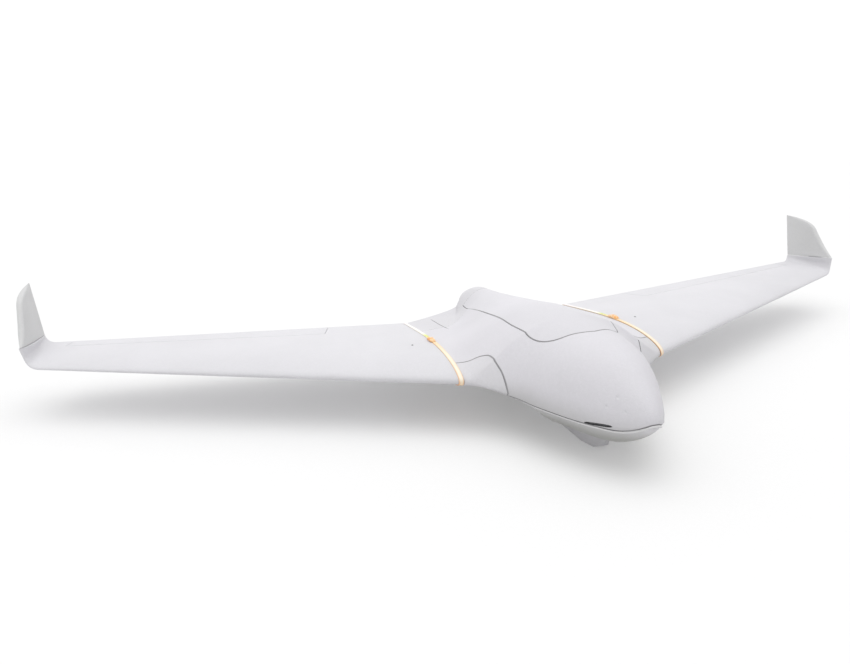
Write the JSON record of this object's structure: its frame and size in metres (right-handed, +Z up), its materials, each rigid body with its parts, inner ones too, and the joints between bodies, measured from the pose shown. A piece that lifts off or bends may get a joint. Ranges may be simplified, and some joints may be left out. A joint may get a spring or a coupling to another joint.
{
  "type": "fixed wing drone",
  "caption": "Swept flying-wing foam drone with a lift-off hatch and canopy, plug-on wings with turned-up winglets, working elevons and a rear pusher motor.",
  "frame": {"origin": "on the plane of the keel's foot, under the middle of the bounding box", "axes": "+X to the nose, +Y to the left wing tip, +Z up"},
  "size_m": [0.8864, 2.1258, 0.2639],
  "materials": {
    "foam": "moulded bead foam",
    "carbon": "satin",
    "motor_metal": "anodised",
    "motor_windings": "lacquered",
    "battery_wrap": "shrink wrap",
    "webbing": "woven",
    "plywood": "bare",
    "dark_plastic": "moulded",
    "white_plastic": "moulded",
    "skid_film": "smooth",
    "amber_strap": "translucent",
    "orange_plastic": "moulded",
    "steel_wire": "bright",
    "magnet": "nickel plated"
  },
  "bodies": {
    "fuselage": {"fuselage_tray": "foam", "keel_skid": "skid_film", "front_spar": "carbon", "rear_spar": "carbon", "motor_mount": "motor_metal", "motor_stator": "motor_windings", "battery": "battery_wrap", "battery_strap": "webbing", "avionics_board": "plywood", "flight_controller": "dark_plastic", "receiver": "dark_plastic", "gps_puck": "white_plastic", "speed_controller": "dark_plastic", "tray_magnet_left": "magnet", "tray_magnet_right": "magnet", "tail_magnet": "magnet"},
    "hatch": {"hatch": "foam", "hatch_magnet_left": "magnet", "hatch_magnet_right": "magnet"},
    "canopy": {"canopy": "foam", "canopy_magnet": "magnet"},
    "rotor": {"motor_bell": "motor_metal", "prop_adapter": "motor_metal"},
    "wing_left": {"wing_left": "foam", "root_rib_left": "plywood", "band_left": "amber_strap", "band_clip_left": "orange_plastic", "servo_left": "dark_plastic", "servo_cover_left": "white_plastic"},
    "elevon_left": {"elevon_left": "foam", "control_horn_left": "white_plastic"},
    "servo_arm_left": {"servo_arm_left": "white_plastic"},
    "pushrod_left": {"pushrod_left": "steel_wire"},
    "winglet_left": {"winglet_left": "foam", "winglet_tongue_left": "white_plastic"},
    "wing_right": {"wing_right": "foam", "root_rib_right": "plywood", "band_right": "amber_strap", "band_clip_right": "orange_plastic", "servo_right": "dark_plastic", "servo_cover_right": "white_plastic"},
    "elevon_right": {"elevon_right": "foam", "control_horn_right": "white_plastic"},
    "servo_arm_right": {"servo_arm_right": "white_plastic"},
    "pushrod_right": {"pushrod_right": "steel_wire"},
    "winglet_right": {"winglet_right": "foam", "winglet_tongue_right": "white_plastic"}
  },
  "joints": [
    {"name": "hatch_lift", "type": "slide", "parent": "fuselage", "child": "hatch", "axis": [0, 0, 1], "range_m": [0, 0.2]},
    {"name": "canopy_lift", "type": "slide", "parent": "fuselage", "child": "canopy", "axis": [0, 0, 1], "range_m": [0, 0.2]},
    {"name": "motor_spin", "type": "hinge", "parent": "fuselage", "child": "rotor", "pos_m": [-0.3662, 0, 0.1255], "axis": [1, 0, 0], "continuous": true},
    {"name": "wing_left_pull", "type": "slide", "parent": "fuselage", "child": "wing_left", "axis": [0, 1, 0], "range_m": [0, 0.25]},
    {"name": "elevon_left_hinge", "type": "hinge", "parent": "wing_left", "child": "elevon_left", "pos_m": [-0.21839, 0.42, 0.12416], "axis": [-0.2153, 0.9765, 0.0124], "range_deg": [-25, 25]},
    {"name": "servo_arm_left_turn", "type": "hinge", "parent": "wing_left", "child": "servo_arm_left", "pos_m": [-0.1763, 0.62393, 0.11875], "axis": [-0.2153, 0.9765, 0.0124], "range_deg": [-25, 25]},
    {"name": "pushrod_left_swing", "type": "hinge", "parent": "servo_arm_left", "child": "pushrod_left", "pos_m": [-0.1763, 0.62423, 0.09475], "axis": [-0.2153, 0.9765, 0.0124], "range_deg": [-25, 25]},
    {"name": "winglet_left_pull", "type": "slide", "parent": "wing_left", "child": "winglet_left", "axis": [0, 0.1219, 0.9925], "range_m": [0, 0.05]},
    {"name": "wing_right_pull", "type": "slide", "parent": "fuselage", "child": "wing_right", "axis": [0, -1, 0], "range_m": [0, 0.25]},
    {"name": "elevon_right_hinge", "type": "hinge", "parent": "wing_right", "child": "elevon_right", "pos_m": [-0.21839, -0.42, 0.12416], "axis": [0.2153, 0.9765, -0.0124], "range_deg": [-25, 25]},
    {"name": "servo_arm_right_turn", "type": "hinge", "parent": "wing_right", "child": "servo_arm_right", "pos_m": [-0.1763, -0.62393, 0.11875], "axis": [0.2153, 0.9765, -0.0124], "range_deg": [-25, 25]},
    {"name": "pushrod_right_swing", "type": "hinge", "parent": "servo_arm_right", "child": "pushrod_right", "pos_m": [-0.1763, -0.62423, 0.09475], "axis": [0.2153, 0.9765, -0.0124], "range_deg": [-25, 25]},
    {"name": "winglet_right_pull", "type": "slide", "parent": "wing_right", "child": "winglet_right", "axis": [0, -0.1219, 0.9925], "range_m": [0, 0.05]}
  ],
  "couplings": [
    {"joint": "servo_arm_left_turn", "follows": "elevon_left_hinge", "ratio": 1},
    {"joint": "pushrod_left_swing", "follows": "elevon_left_hinge", "ratio": -1},
    {"joint": "servo_arm_right_turn", "follows": "elevon_right_hinge", "ratio": 1},
    {"joint": "pushrod_right_swing", "follows": "elevon_right_hinge", "ratio": -1}
  ]
}
